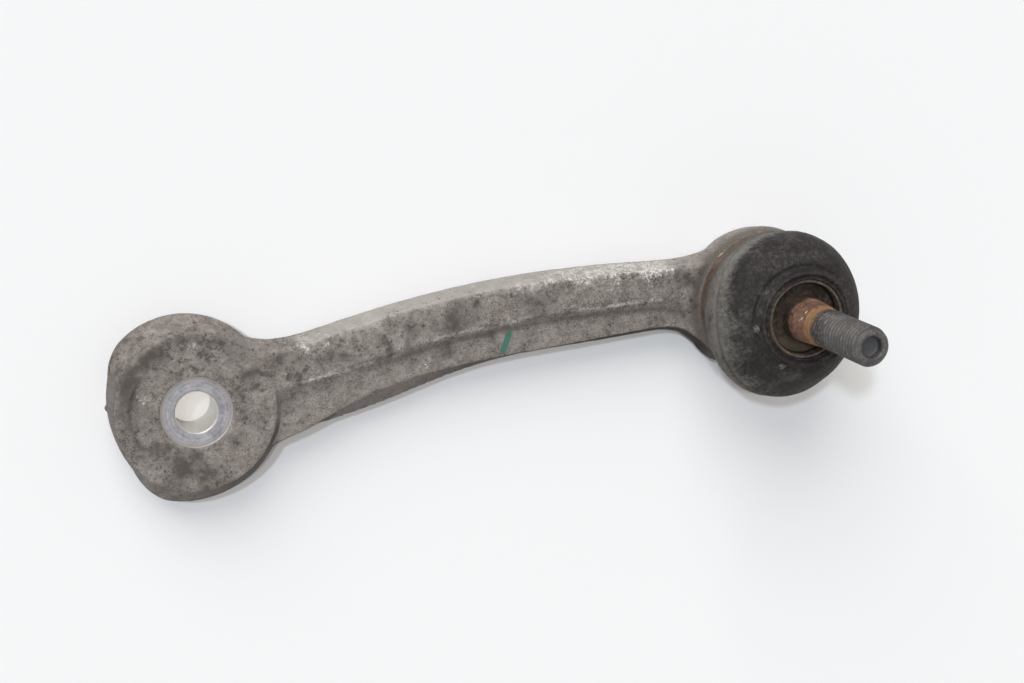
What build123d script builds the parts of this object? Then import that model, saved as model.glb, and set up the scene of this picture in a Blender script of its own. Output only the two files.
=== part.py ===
from build123d import *
import os

# Stabilizer link: a bowed aluminium forging with a plain bolted eye at one end and a sealed
# ball joint at the other. Lengths are in millimetres.
# The origin is the middle of the eye's bore. +X runs to the ball joint, +Z is the way the
# stud points, and z = 0 is the plane in which the two forging dies met.

# Link as a whole, and how far a cutting body runs past the face it opens
centre_distance = 154.8
cut_margin = 1.0

# Eye. The flank is how far the parting line stands outside the face at each angle about the bore.
eye_thickness = 13.0
eye_face_radius = 20.3
eye_flank_angles = (11, 78, 121, 136, 150, 183, 217, 231, 244, 282, 349, 360)
eye_flank = (0.0, 3.2, 4.6, 4.1, 2.2, 0.5, 1.2, 3.2, 4.4, 3.5, 2.7, 1.5)
parting_land = 2.0
bore_diameter = 10.5
bore_chamfer = 0.4
washer_mark_radius = 9.1
washer_mark_depth = 0.15

# Arm: heights above the parting plane, and the slopes between them
rib_height = 5.6
rib_draft = 1.7
rib_shoulder_radius = 1.5
rib_step_run = 7.2
flange_height = 3.6
flange_cover = 4.0

# Arm: the y of each line near the eye, at the crown of the bow and near the housing
outer_line = (14.6, 18.4, 16.3)
ridge_line = (3.5, 7.9, 6.3)
flange_line = (-6.9, -1.7, -2.1)
lower_line = (-10.0, -3.1, -3.4)
near_gap = 16.7
far_gap = 16.5

# Arm: where the lines turn into the eye and into the housing, measured from their axes
outer_eye_end = ((10.1, 19.0), (21.5, 13.7))
ridge_eye_end = ((15.0, 1.0), (26.7, 2.0))
flange_eye_end = ((15.0, -12.5), (25.4, -11.2))
lower_eye_end = ((14.5, -17.0), (21.8, -12.7))
outer_ball_end = ((-17.0, 15.3), (-7.3, 17.5))
ridge_ball_end = ((-22.3, 2.3), (-19.0, -3.2), (-12.8, -8.5))
flange_ball_end = ((-23.3, -4.2), (-18.3, -8.6), (-11.8, -12.4))
lower_ball_end = ((-23.3, -5.5), (-17.9, -10.7), (-11.3, -14.0))

# Ball stud
ball_radius = 9.5
ball_centre_z = 6.1
neck_radius = 4.5
neck_end_z = 19.0
collar_radius = 9.4
collar_bottom_z = 25.4
collar_top_z = 28.2
collar_chamfer = 0.5
shank_root_radius = 5.9
shank_fillet = 1.6
shank_end_radius = 5.25
thread_radius = 5.0
thread_start_z = 40.3
stud_tip_z = 66.8
tip_chamfer = 1.3
hex_across_flats = 5.0
hex_depth = 6.0

# Ball seat: a plastic shell between the ball and the housing
seat_wall = 2.7
seat_ball_clearance = 0.05
seat_bore_clearance = 0.1
seat_top_gap = 4.1
seat_top_wall = 1.7
seat_cone_height = 1.8
seat_hole_radius = 4.0

# Closing plate and the lip rolled over it
plate_thickness = 1.5
plate_overlap = 1.2
plate_clearance = 0.1
lip_thickness = 0.9

# Housing
housing_radius = 19.7
housing_upper_draft = 0.5
housing_lower_draft = 1.0
housing_edge = 1.2
housing_top_gap = 4.6
groove_bottom_z = 6.0
groove_height = 3.1
groove_depth = 2.2
rim_step = 0.8

# Boot, the clip round its foot and the ring in its mouth. The wall's profile has, for each of its
# sections, the share of the way from the mouth out to the housing's radius, the share of the
# way up from foot to lip, and the share it takes of the slump, since the rubber has sunk to
# one side.
boot_clearance = 0.1
boot_foot_wall = 1.0
boot_wall = 1.6
boot_lip_wall = 2.0
boot_lip_rise = 0.6
boot_lip_drop = 1.7
boot_lip_round = 0.6
boot_spread_shares = (1.0, 1.16, 1.29, 1.3, 1.17, 0.82, 0.4, 0.0)
boot_height_shares = (0.0, 0.16, 0.34, 0.5, 0.67, 0.83, 0.94, 1.0)
boot_slump_shares = (0.0, 0.5, 0.9, 1.0, 0.9, 0.55, 0.2, 0.0)
boot_slump = (-0.8, -1.2)
boot_slump_tilt = (4.0, 7.5)
clip_wall = 0.9
clip_height = 2.6
ring_wall = 0.8
ring_clearance = 0.1
ring_height = 3.0
ring_rise = 2.5
boot_ledge = 0.8

half_eye = eye_thickness / 2
near_x = eye_face_radius + near_gap
far_x = centre_distance - housing_radius - far_gap
crown_x = (near_x + far_x) / 2


def eye_outline(flank_share, z):
    """The eye's outline at a height, as six arcs. A share of 0 is the face, 1 the parting line."""
    points = []
    for angle, flank in zip(eye_flank_angles, eye_flank):
        radius = eye_face_radius + flank_share * flank
        points.append(Vector(radius, 0).rotate(Axis.Z, angle))
    starts = points[0::2]
    middles = points[1::2]
    ends = starts[1:] + starts[:1]
    arcs = [ThreePointArc(a, m, b) for a, m, b in zip(starts, middles, ends)]
    return Pos(0, 0, z) * make_face(arcs)


def eye_body():
    land = parting_land / 2
    levels = ((0, -half_eye), (1, -land), (1, land), (0, half_eye))
    return loft([eye_outline(share, z) for share, z in levels], ruled=True)


def arm_line(eye_end, line, ball_end, shift=0.0):
    """A curve along the arm, moved sideways by shift."""
    middle = list(zip((near_x, crown_x, far_x), line))
    ball = [(centre_distance + x, y) for x, y in ball_end]
    points = [*eye_end, *middle, *ball]
    return Spline(*[(x, y + shift) for x, y in points])


def arm_layer(upper, lower, z):
    """The face between two lines of the arm, at a height."""
    eye_side = Line(lower @ 0, upper @ 0)
    ball_side = Line(lower @ 1, upper @ 1)
    return Pos(0, 0, z) * make_face([eye_side, upper, ball_side, lower])


def flange_body():
    upper = arm_line(outer_eye_end, outer_line, outer_ball_end, -flange_cover)
    root = arm_layer(upper, arm_line(lower_eye_end, lower_line, lower_ball_end), 0)
    edge = arm_line(flange_eye_end, flange_line, flange_ball_end)
    layers = [
        arm_layer(upper, edge, -flange_height),
        root,
        arm_layer(upper, edge, flange_height),
    ]
    return loft(layers, ruled=True)


def rib_body():
    root = arm_layer(
        arm_line(outer_eye_end, outer_line, outer_ball_end),
        arm_line(ridge_eye_end, ridge_line, ridge_ball_end, -rib_step_run),
        0,
    )
    upper = arm_line(outer_eye_end, outer_line, outer_ball_end, -rib_draft)
    lower = arm_line(ridge_eye_end, ridge_line, ridge_ball_end)
    layers = [arm_layer(upper, lower, -rib_height), root, arm_layer(upper, lower, rib_height)]
    body = loft(layers, ruled=True)
    long_edges = [e for e in body.edges() if e.length > (far_x - near_x)]
    top_edges = [e for e in long_edges if abs(abs(e.center().Z) - rib_height) < 0.01]
    shoulders = [e for e in top_edges if (e @ 0.5).Y > (outer_line[1] + ridge_line[1]) / 2]
    return fillet(shoulders, rib_shoulder_radius)


def turned(outline, x=0.0):
    """A body turned about the vertical axis at x, from its half outline as (radius, z) edges."""
    profile = Plane.XZ * make_face(outline)
    return Pos(x, 0, 0) * revolve(profile, Axis.Z)


def disc(radius, bottom, top, x=0.0):
    return Pos(x, 0, (bottom + top) / 2) * Cylinder(radius, top - bottom)


def sphere_radius_at(radius, height):
    """How wide a ball is at this height above its centre."""
    return (radius**2 - height**2) ** 0.5


# Heights and radii that follow from the stack in the housing
housing_top_z = ball_centre_z + housing_top_gap
lip_top_z = -half_eye + lip_thickness
plate_top_z = lip_top_z + plate_thickness
pocket_top_z = plate_top_z + plate_clearance
seat_radius = ball_radius + seat_wall
seat_top_z = ball_centre_z + seat_top_gap
seat_hollow_radius = ball_radius + seat_ball_clearance
seat_top_radius = sphere_radius_at(seat_hollow_radius, seat_top_gap) + seat_top_wall
plate_radius = seat_radius + plate_overlap
groove_top_z = groove_bottom_z + groove_height
groove_radius = housing_radius - housing_upper_draft - groove_depth
rim_radius = groove_radius + rim_step
ring_top_z = collar_top_z + ring_rise
mouth_radius = collar_radius + 2 * ring_clearance + ring_wall
boot_foot_z = groove_top_z + 2 * boot_clearance
boot_lip_radius = mouth_radius + boot_lip_wall
boot_lip_top_z = ring_top_z + boot_lip_rise
boot_lip_foot_z = boot_lip_top_z - boot_lip_drop


def housing_blank():
    """The outside of the ball joint's housing, before it is bored."""
    foot_side = housing_radius - housing_lower_draft
    outline = Polyline(
        (0, -half_eye),
        (foot_side - housing_edge, -half_eye),
        (foot_side, -half_eye + housing_edge),
        (housing_radius, 0),
        (housing_radius - housing_upper_draft, groove_bottom_z),
        (groove_radius, groove_bottom_z),
        (groove_radius, groove_top_z),
        (rim_radius, groove_top_z),
        (rim_radius, housing_top_z),
        (0, housing_top_z),
        close=True,
    )
    return turned(outline, centre_distance)


def housing_cavity():
    """The stepped bore: mouth, seat, shoulder, plate pocket and the opening inside the lip."""
    seat_bore = seat_radius + seat_bore_clearance
    mouth = seat_top_radius + seat_bore_clearance
    shoulder_z = seat_top_z + seat_bore_clearance
    outline = Polyline(
        (0, -half_eye - cut_margin),
        (seat_radius, -half_eye - cut_margin),
        (seat_radius, lip_top_z),
        (plate_radius + plate_clearance, lip_top_z),
        (plate_radius + plate_clearance, pocket_top_z),
        (seat_bore, pocket_top_z),
        (seat_bore, shoulder_z - seat_cone_height),
        (mouth, shoulder_z),
        (mouth, housing_top_z + cut_margin),
        (0, housing_top_z + cut_margin),
        close=True,
    )
    return turned(outline, centre_distance)


def eye_bore():
    radius = bore_diameter / 2
    wide = radius + bore_chamfer
    outline = Polyline(
        (0, -half_eye),
        (wide, -half_eye),
        (radius, -half_eye + bore_chamfer),
        (radius, half_eye - washer_mark_depth - bore_chamfer),
        (wide, half_eye - washer_mark_depth),
        (washer_mark_radius, half_eye - washer_mark_depth),
        (washer_mark_radius, half_eye),
        (0, half_eye),
        close=True,
    )
    return turned(outline)


def link_arm():
    body = eye_body() + flange_body() + rib_body() + housing_blank()
    return body - housing_cavity() - groove_ring() - eye_bore()


def groove_ring():
    """What the boot's groove and the step above it take out of the arm's roots."""
    reach = housing_radius + boot_wall
    outer = disc(reach, groove_bottom_z, housing_top_z + cut_margin, centre_distance)
    inner = disc(rim_radius, groove_bottom_z, housing_top_z + cut_margin, centre_distance)
    return outer - inner


def ball_stud():
    neck_z = ball_centre_z + sphere_radius_at(ball_radius, neck_radius)
    bottom_z = ball_centre_z - ball_radius
    ball_arc = ThreePointArc((0, bottom_z), (ball_radius, ball_centre_z), (neck_radius, neck_z))
    neck = Line(ball_arc @ 1, (neck_radius, neck_end_z))
    flare = Line(neck @ 1, (collar_radius - collar_chamfer, collar_bottom_z))
    root_r = shank_root_radius + shank_fillet
    root_z = collar_top_z + shank_fillet
    collar = Polyline(
        flare @ 1,
        (collar_radius, collar_bottom_z + collar_chamfer),
        (collar_radius, collar_top_z - collar_chamfer),
        (collar_radius - collar_chamfer, collar_top_z),
        (root_r, collar_top_z),
    )
    bow = shank_fillet * 0.7071
    fillet_arc = ThreePointArc(collar @ 1, (root_r - bow, root_z - bow), (shank_root_radius, root_z))
    shank = Polyline(
        fillet_arc @ 1,
        (shank_end_radius, thread_start_z - (shank_end_radius - thread_radius)),
        (thread_radius, thread_start_z),
        (thread_radius, stud_tip_z - tip_chamfer),
        (thread_radius - tip_chamfer, stud_tip_z),
        (0, stud_tip_z),
        (0, bottom_z),
    )
    outline = [ball_arc, neck, flare, collar, fillet_arc, shank]
    body = turned(outline, centre_distance)
    socket = extrude(RegularPolygon(hex_across_flats / 2, 6, major_radius=False), hex_depth)
    return body - Pos(centre_distance, 0, stud_tip_z - hex_depth) * socket


def bearing_seat():
    body = turned(
        Polyline(
            (0, plate_top_z),
            (seat_radius, plate_top_z),
            (seat_radius, seat_top_z - seat_cone_height),
            (seat_top_radius, seat_top_z),
            (0, seat_top_z),
            close=True,
        ),
        centre_distance,
    )
    hollow = Pos(centre_distance, 0, ball_centre_z) * Sphere(seat_hollow_radius)
    hole = disc(seat_hole_radius, plate_top_z - cut_margin, ball_centre_z, centre_distance)
    return body - hollow - hole


def cover_plate():
    return disc(plate_radius, lip_top_z, plate_top_z, centre_distance)


def boot_section(radius, z, share):
    """A circle of the boot's outside, leaning and moved by its share of the slump."""
    lean_x, lean_y = boot_slump_tilt
    move_x, move_y = boot_slump
    place = Pos(centre_distance + share * move_x, share * move_y, z)
    return place * Rot(share * lean_x, share * lean_y, 0) * Circle(radius)


def outer_sections():
    """Radius, height and slump share of each of the boot's sections, from foot to lip."""
    reach = housing_radius - boot_lip_radius
    rise = boot_lip_foot_z - boot_foot_z
    return [
        (boot_lip_radius + spread * reach, boot_foot_z + height * rise, slump)
        for spread, height, slump in zip(boot_spread_shares, boot_height_shares, boot_slump_shares)
    ]


def inner_sections():
    """The boot's sections below the lip, moved in by the wall at right angles to the outside."""
    outer = outer_sections()
    below = outer[:1] + outer[:-2]
    result = []
    for before, here, after in zip(below, outer, outer[1:]):
        rise = Vector(after[0] - before[0], after[1] - before[1]).normalized()
        result.append((here[0] - boot_wall * rise.Y, here[1] + boot_wall * rise.X, here[2]))
    return result


def boot_outside():
    """The boot as a filled body: the slumped wall, the foot in the groove and the lip."""
    groove_side = groove_radius + boot_clearance + boot_foot_wall
    foot = Polyline(
        (0, groove_bottom_z + boot_clearance),
        (groove_side, groove_bottom_z + boot_clearance),
        (groove_side, groove_top_z),
        (housing_radius, boot_foot_z),
        (0, boot_foot_z),
        close=True,
    )
    lip = Polyline(
        (0, boot_lip_foot_z),
        (boot_lip_radius, boot_lip_foot_z),
        (boot_lip_radius, boot_lip_top_z - boot_lip_round),
        (boot_lip_radius - boot_lip_round, boot_lip_top_z),
        (0, boot_lip_top_z),
        close=True,
    )
    wall = loft([boot_section(*section) for section in outer_sections()])
    return wall + turned(foot, centre_distance) + turned(lip, centre_distance)


def boot_hollow():
    """The space inside the boot: the groove's core, the rim, the slumped room and the mouth."""
    room = [boot_section(*section) for section in inner_sections()]
    rim_inner = rim_radius + boot_clearance
    step_z = groove_top_z - boot_clearance
    ledge_top = ring_top_z - ring_height - ring_clearance
    outline = Polyline(
        (0, groove_bottom_z),
        (groove_radius + boot_clearance, groove_bottom_z),
        (groove_radius + boot_clearance, step_z),
        (rim_inner, step_z),
        (rim_inner, housing_top_z),
        (mouth_radius - boot_ledge, housing_top_z),
        (mouth_radius - boot_ledge, ledge_top),
        (mouth_radius, ledge_top),
        (mouth_radius, boot_lip_top_z),
        (0, boot_lip_top_z),
        close=True,
    )
    return loft(room) + turned(outline, centre_distance)


def dust_boot():
    """A rubber bellows that has slumped to one side."""
    return boot_outside() - boot_hollow()


def ring(inner, wall, bottom, height):
    """A plain round band about the ball joint's axis."""
    outer = disc(inner + wall, bottom, bottom + height, centre_distance)
    return outer - disc(inner, bottom - cut_margin, bottom + height + cut_margin, centre_distance)


def boot_clip():
    inner = groove_radius + 2 * boot_clearance + boot_foot_wall
    return ring(inner, clip_wall, groove_bottom_z + boot_clearance, clip_height)


def mouth_ring():
    return ring(collar_radius + ring_clearance, ring_wall, ring_top_z - ring_height, ring_height)


pieces = {
    "link_arm": link_arm(),
    "ball_stud": ball_stud(),
    "bearing_seat": bearing_seat(),
    "cover_plate": cover_plate(),
    "dust_boot": dust_boot(),
    "boot_clip": boot_clip(),
    "mouth_ring": mouth_ring(),
}

os.makedirs("parts", exist_ok=True)
for name, piece in pieces.items():
    piece.label = name
    export_step(piece, f"parts/{name}.step")
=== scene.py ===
import math

import bmesh
import bpy
import numpy as np
from mathutils import Euler, Matrix, Vector, noise


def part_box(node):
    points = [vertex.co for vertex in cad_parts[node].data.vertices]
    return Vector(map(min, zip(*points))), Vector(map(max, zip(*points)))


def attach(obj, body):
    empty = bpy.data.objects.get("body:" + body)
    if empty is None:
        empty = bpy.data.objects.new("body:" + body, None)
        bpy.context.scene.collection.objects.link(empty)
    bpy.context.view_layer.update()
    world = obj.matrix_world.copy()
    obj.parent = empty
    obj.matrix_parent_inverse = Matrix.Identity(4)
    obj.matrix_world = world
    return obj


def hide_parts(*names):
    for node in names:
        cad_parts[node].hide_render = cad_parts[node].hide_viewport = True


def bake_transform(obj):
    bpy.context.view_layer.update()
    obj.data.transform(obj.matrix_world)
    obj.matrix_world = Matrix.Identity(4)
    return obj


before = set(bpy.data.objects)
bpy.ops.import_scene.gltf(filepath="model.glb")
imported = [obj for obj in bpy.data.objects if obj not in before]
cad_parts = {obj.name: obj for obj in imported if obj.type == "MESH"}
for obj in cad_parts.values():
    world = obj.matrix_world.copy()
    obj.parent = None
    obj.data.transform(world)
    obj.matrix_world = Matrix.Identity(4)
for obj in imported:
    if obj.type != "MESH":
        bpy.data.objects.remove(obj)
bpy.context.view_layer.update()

# Lengths are in millimetres of the part's own frame. MM turns them into metres.
MM = 0.001


def node_box(node):
    """Lowest and highest corner of a CAD node, in millimetres."""
    return [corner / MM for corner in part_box(node)]


# Places read from the frame
link_low, link_high = node_box("link_arm")
ring_low, ring_high = node_box("mouth_ring")
clip_low, clip_high = node_box("boot_clip")
stud_low, stud_high = node_box("ball_stud")
boot_low, boot_high = node_box("dust_boot")
axis_x = (ring_low.x + ring_high.x) / 2
axis_y = (ring_low.y + ring_high.y) / 2
floor_z = link_low.z

# Mesh fineness
arm_voxel = 0.45
turns = 192

# Eye
eye_top_z = 6.5
bore_radius = 5.25
bore_chamfer = 0.4
washer_mark_radius = 9.1
washer_mark_depth = 0.15

# Housing, plate pocket and the lip rolled over the plate
housing_radius = 19.7
housing_cut_radius = 16.0
groove_bottom_z = 6.0
housing_top_z = 10.7
lip_opening_radius = 12.2
lip_thickness = 0.9
pocket_radius = 13.5
pocket_top_z = -4.0
seat_bore_radius = 12.3

# Ball stud
ball_radius = 9.5
ball_centre_z = 6.1
neck_radius = 4.5
neck_end_z = 19.0
collar_radius = 9.4
collar_bottom_z = 25.4
collar_top_z = 28.2
shank_root_radius = 5.9
shank_fillet = 1.6
shank_end_radius = 5.25
thread_radius = 5.0
thread_start_z = 40.3
thread_pitch = 1.5
thread_depth = 0.65
tip_chamfer = 1.3
hex_half_width = 2.5
socket_dirt_depth = 2.5

# Boot, with the shares that its solid has for each section of the wall
boot_foot_z = 9.3
boot_foot_bottom_z = 6.1
boot_foot_radius = 18.1
boot_lip_radius = 12.4
boot_lip_foot_z = 29.6
boot_mouth_radius = 10.4
boot_rim_inner = 17.9
boot_foot_inner = 17.1
boot_wall = 1.6
boot_spread_shares = (1.0, 1.16, 1.29, 1.3, 1.17, 0.82, 0.4, 0.0)
boot_height_shares = (0.0, 0.16, 0.34, 0.5, 0.67, 0.83, 0.94, 1.0)
boot_slump_shares = (0.0, 0.5, 0.9, 1.0, 0.9, 0.55, 0.2, 0.0)
boot_slump = (-0.8, -1.2)
boot_slump_tilt = (4.0, 7.5)
seam_section = 3
seam_row = 48
crease_angles = (0, 40, 84, 104, 123, 143, 160, 179, 203, 219, 260, 300)
crease_sections = (2.4, 2.1, 1.6, 1.3, 1.2, 1.95, 2.9, 3.45, 3.52, 3.65, 3.4, 2.8)
# How high dust greys the boot at each angle; over the rim this grey also stands for painted highlight.
dust_and_rim_light_angles = (0, 50, 90, 117, 129, 148, 157, 177, 198, 215, 234, 270, 320)
dust_and_rim_light_sections = (2.6, 2.2, 1.9, 2.2, 2.6, 3.8, 4.1, 4.4, 4.4, 4.15, 3.9, 3.2, 2.9)
boot_pip_places = ((141.4, -0.5, 29.2), (147.8, -11.6, 29.1))


# Marks on the link as (x, y, radius, strength), and lines as (x, y, strength)
scoop_radius = 17.0
eye_reach = 22.0
scoop_depth = 0.9
nub_place = (-20.9, 3.8, 0.0)
nub_height = 0.7
stains = (
    (-13, 20.5, 2.6, 0.9), (-18.5, 15.5, 3.0, 0.8), (-16.4, 9.5, 1.5, 1.0), (-15.8, 6.0, 1.1, 1.0),
    (-14, 12.5, 1.8, 1.0), (-11.2, 14.5, 1.9, 1.0), (-9.5, 16.5, 1.8, 0.9), (-1, 18, 3.4, 1.0),
    (4, 17, 2.8, 0.9), (9, 16, 2.4, 0.8), (-5, 16.5, 2.2, 0.8), (-2, 11.5, 2.0, 1.0),
    (2.3, 11, 1.4, 0.8), (7, 12.8, 1.5, 0.8), (-9, 12, 1.6, 0.8), (14.5, 6.8, 2.5, 1.0),
    (16.8, 6, 1.6, 0.8), (11, 3.6, 1.3, 0.9), (11.2, 1, 1.2, 0.8), (15, 3, 1.3, 0.9),
    (11, -4, 1.7, 0.9), (16, -5, 1.3, 0.7), (-10, -9, 3.4, 0.9), (-6, -13, 4.6, 1.1),
    (-2.6, -12, 3.0, 1.0), (0, -16.5, 3.2, 0.9), (5, -18, 2.6, 0.9), (-15.6, -2, 1.1, 0.9),
    (-15, -5, 1.2, 0.9), (-13.2, -7.2, 1.5, 0.9), (-9, -1, 1.5, 0.6), (8, -9, 2.6, 0.6),
    (25.5, 4.5, 3.0, 1.0), (22, 9.5, 2.6, 0.9), (36, 6.7, 2.2, 0.8), (33, 6, 1.7, 0.7),
    (39, 7.5, 1.8, 0.8), (50.5, 8.5, 2.0, 0.9), (50, 6, 2.2, 0.9), (57, 11, 2.8, 0.6),
    (68, 10.5, 4.6, 0.9), (75, 14, 2.2, 0.8), (66, 2.5, 2.2, 0.7), (78, 5, 1.8, 0.7),
    (91, 11, 3.2, 0.5), (131.5, 12.5, 2.2, 0.7), (133, 10.5, 2.4, 0.7), (134, 2, 2.4, 0.6),
)
# Rubbed spots; some, such as the one on the housing at (142, 17.8), are painted glints.
wear_and_glint_spots = (
    (-14.7, 12.8, 0.9, 1.0), (-13.2, 5.8, 1.0, 0.8), (-12.4, 4.7, 1.2, 1.0), (23.3, 6, 0.8, 0.9),
    (24, 2, 0.9, 1.0), (29.5, 11.2, 1.6, 0.7), (35.5, 11, 1.4, 0.7), (114, 14.5, 3.6, 0.9),
    (123, 13.6, 4.0, 0.9), (1.1, 16.1, 1.1, 0.7), (-1.5, 17.8, 0.9, 0.6), (60.7, 0.3, 0.9, 0.9), (28, -3, 1.2, 0.5),
    (88, 15.6, 2.4, 0.5), (76, 16, 2.2, 0.5), (142, 17.8, 1.8, 0.55),
)
# Wear along the rib's ridge, which is also a painted highlight where the ridge turns up to the light.
ridge_wear_and_highlight = (
    (27.5, 2.2, 1.2), (34, 2.7, 1.3), (40, 3.2, 0.9), (45, 3.8, 0.7), (50, 5.2, 0.4), (57, 5.7, 0.5),
    (63, 6.5, 0.9), (66, 7, 1.0), (71, 7.3, 0.9), (77, 7.3, 0.9), (84, 7.3, 0.9), (89, 7.8, 0.7),
    (97, 7.6, 0.5), (105, 7, 0.9), (112, 6.5, 1.2), (119, 6.2, 1.1), (125.5, 5.8, 0.6),
)
# Painted shade along the foot of the rib's step, which faces away from the light.
step_shade_line = (
    (40, 1.0, 0.4), (55, 3.5, 1.0), (60, 4.3, 1.0), (70, 5.0, 1.0), (85, 5.6, 0.9),
    (100, 5.3, 0.9), (115, 4.2, 1.0), (126, 3.0, 1.0), (131, 1.0, 0.9), (133, -2.5, 0.7),
)
# Two painted glints on the shank, each from one end to the other.
stud_glints = (
    ((151.5, 4.1, 38.5), (151.1, 3.8, 38.3)),
    ((150.2, 2.7, 38.2), (149.8, 1.9, 37.5)),
)
paint_dab = ((83.3, 5.2, 0.3), (82.6, 3.0, 0.95), (81.3, 0.5, 0.95), (80.9, -0.3, 0.6))
edge_wear = (
    (92, 16.6, 0.3), (98, 16.6, 0.7), (104, 16.4, 0.95), (111, 16.2, 1.1), (119.6, 15.3, 1.2),
    (127, 14.4, 1.0), (130, 12.5, 0.6),
)
soft_wear = (
    (22, 11.5, 0.5), (30, 11.4, 0.9), (37, 10.8, 0.8), (47, 13.2, 1.0), (58, 14.0, 0.5),
    (66, 14.6, 0.3), (80, 15.6, 0.6), (92, 15.8, 0.9), (110, 15.5, 1.0), (128, 13.5, 0.8),
)
# Painted shade along the wall of the hollow beside the washer mark.
scoop_wall_shade = (
    (-16.2, 3.0, 0.2), (-15.9, 6.5, 0.8), (-15.0, 10.5, 1.0), (-12.6, 14.2, 1.0), (-9.4, 16.8, 0.8),
    (-5.5, 18.3, 0.6), (-1.5, 18.6, 0.7), (3.5, 18.0, 0.8), (8.5, 16.4, 0.7), (11.5, 14.2, 0.4),
)


# Meshes
def new_object(name, verts_mm, faces):
    """A smooth-shaded mesh object from points in millimetres."""
    mesh = bpy.data.meshes.new(name)
    mesh.from_pydata([tuple(float(c) * MM for c in v) for v in verts_mm], [], faces)
    mesh.validate()
    mesh.shade_smooth()
    obj = bpy.data.objects.new(name, mesh)
    bpy.context.scene.collection.objects.link(obj)
    return obj


def rounded_profile(points, radius, step=0.9):
    """A (radius, z) line with its corners rounded and its long legs divided."""
    points = [np.array(p, float) for p in points]
    line = [points[0]]
    for before, corner, after in zip(points, points[1:], points[2:]):
        leg_in = before - corner
        leg_out = after - corner
        cut = min(radius, 0.45 * np.linalg.norm(leg_in), 0.45 * np.linalg.norm(leg_out))
        start = corner + leg_in / np.linalg.norm(leg_in) * cut
        end = corner + leg_out / np.linalg.norm(leg_out) * cut
        for t in (0.0, 0.25, 0.5, 0.75, 1.0):
            line.append((1 - t) ** 2 * start + 2 * t * (1 - t) * corner + t * t * end)
    line.append(points[-1])
    dense = [line[0]]
    for here, there in zip(line, line[1:]):
        count = max(1, math.ceil(np.linalg.norm(there - here) / step))
        dense += [here + (there - here) * k / count for k in range(1, count + 1)]
    return dense


def circle(radius, z):
    """One ring of points about the ball joint's axis."""
    angles = np.arange(turns) * 2 * math.pi / turns
    return np.stack(
        [axis_x + radius * np.cos(angles), axis_y + radius * np.sin(angles), np.full(turns, z)], 1
    )


def skin_rings(name, rings, closed=False):
    """A mesh over rings of equal length. A closed one joins its last ring to its first."""
    verts = np.concatenate(rings)
    count = len(rings[0])
    faces = []
    pairs = list(zip(range(len(rings)), range(1, len(rings))))
    if closed:
        pairs.append((len(rings) - 1, 0))
    for a, b in pairs:
        for k in range(count):
            n = (k + 1) % count
            faces.append((a * count + k, a * count + n, b * count + n, b * count + k))
    if not closed:
        faces.append(tuple(reversed(range(count))))
        faces.append(tuple((len(rings) - 1) * count + k for k in range(count)))
    return new_object(name, verts, faces)


def moved(ring, x, y=0.0):
    """A ring about the ball joint's axis, carried to another upright axis."""
    return ring + np.array([x - axis_x, y - axis_y, 0.0])


# Link
def mesh_points(obj):
    points = np.zeros(len(obj.data.vertices) * 3)
    obj.data.vertices.foreach_get("co", points)
    return points.reshape(-1, 3) / MM


def set_points(obj, points):
    obj.data.vertices.foreach_set("co", (points * MM).ravel())
    obj.data.update()


def point_normals(obj):
    normals = np.zeros(len(obj.data.vertices) * 3)
    obj.data.vertex_normals.foreach_get("vector", normals)
    return normals.reshape(-1, 3)


def edge_pairs(obj):
    pairs = np.zeros(len(obj.data.edges) * 2, int)
    obj.data.edges.foreach_get("vertices", pairs)
    return pairs.reshape(-1, 2)


def neighbour_mean(values, pairs):
    """Each point's mean over the points it shares an edge with."""
    total = np.zeros_like(values)
    count = np.zeros(len(values))
    for a, b in ((0, 1), (1, 0)):
        np.add.at(total, pairs[:, a], values[pairs[:, b]])
        np.add.at(count, pairs[:, a], 1)
    return total / np.maximum(count, 1).reshape(-1, *[1] * (values.ndim - 1))


def apply_modifiers(obj):
    graph = bpy.context.evaluated_depsgraph_get()
    mesh = bpy.data.meshes.new_from_object(obj.evaluated_get(graph))
    obj.modifiers.clear()
    obj.data = mesh


def smooth_step(values, low, high):
    t = np.clip((values - low) / (high - low), 0, 1)
    return t * t * (3 - 2 * t)


def away_from_machining(points):
    """1 on forged skin, 0 on the washer mark, the bore and the turned top of the housing."""
    from_bore = np.hypot(points[:, 0], points[:, 1])
    from_ball = np.hypot(points[:, 0] - axis_x, points[:, 1] - axis_y)
    eye = smooth_step(from_bore, washer_mark_radius + 0.2, washer_mark_radius + 1.6)
    top = smooth_step(groove_bottom_z - points[:, 2], 0.3, 1.3)
    turned = np.where(from_ball < housing_radius + 0.4, top, 1.0)
    inside = smooth_step(from_ball, housing_cut_radius, housing_cut_radius + 1.5)
    return eye * turned * inside


def near_boot(points):
    """1 on the housing just below the boot, where brown grime has gathered."""
    away = np.hypot(points[:, 0] - axis_x, points[:, 1] - axis_y)
    return smooth_step(points[:, 2], -1.0, 5.5) * smooth_step(-away, -housing_radius - 3.5, -housing_radius)


def rubbed_and_lit_band(points, normals):
    """1 on the arm's outer flank above the parting line, which faces the window: rubbed pale and painted paler as
    painted light.
    """
    along = smooth_step(points[:, 0], 22, 40) * smooth_step(-points[:, 0], -140, -128)
    return along * smooth_step(normals[:, 1], 0.45, 0.8) * smooth_step(points[:, 2], -1.5, 0.5)


def forge_fillets(points, pairs, obj, free):
    """Fills the inner corners to the radius a forging has, and eases the outer ones."""
    for _ in range(3):
        points = points + 0.5 * free[:, None] * (neighbour_mean(points, pairs) - points)
    set_points(obj, points)
    for turn in range(46):
        normals = point_normals(obj)
        pull = neighbour_mean(points, pairs) - points
        outward = np.sum(pull * normals, axis=1)
        gain = np.where(outward > 0, 0.6, 0.5 if turn < 2 else 0.0)
        points = points + (gain * free * outward)[:, None] * normals
        set_points(obj, points)
    return points


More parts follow.
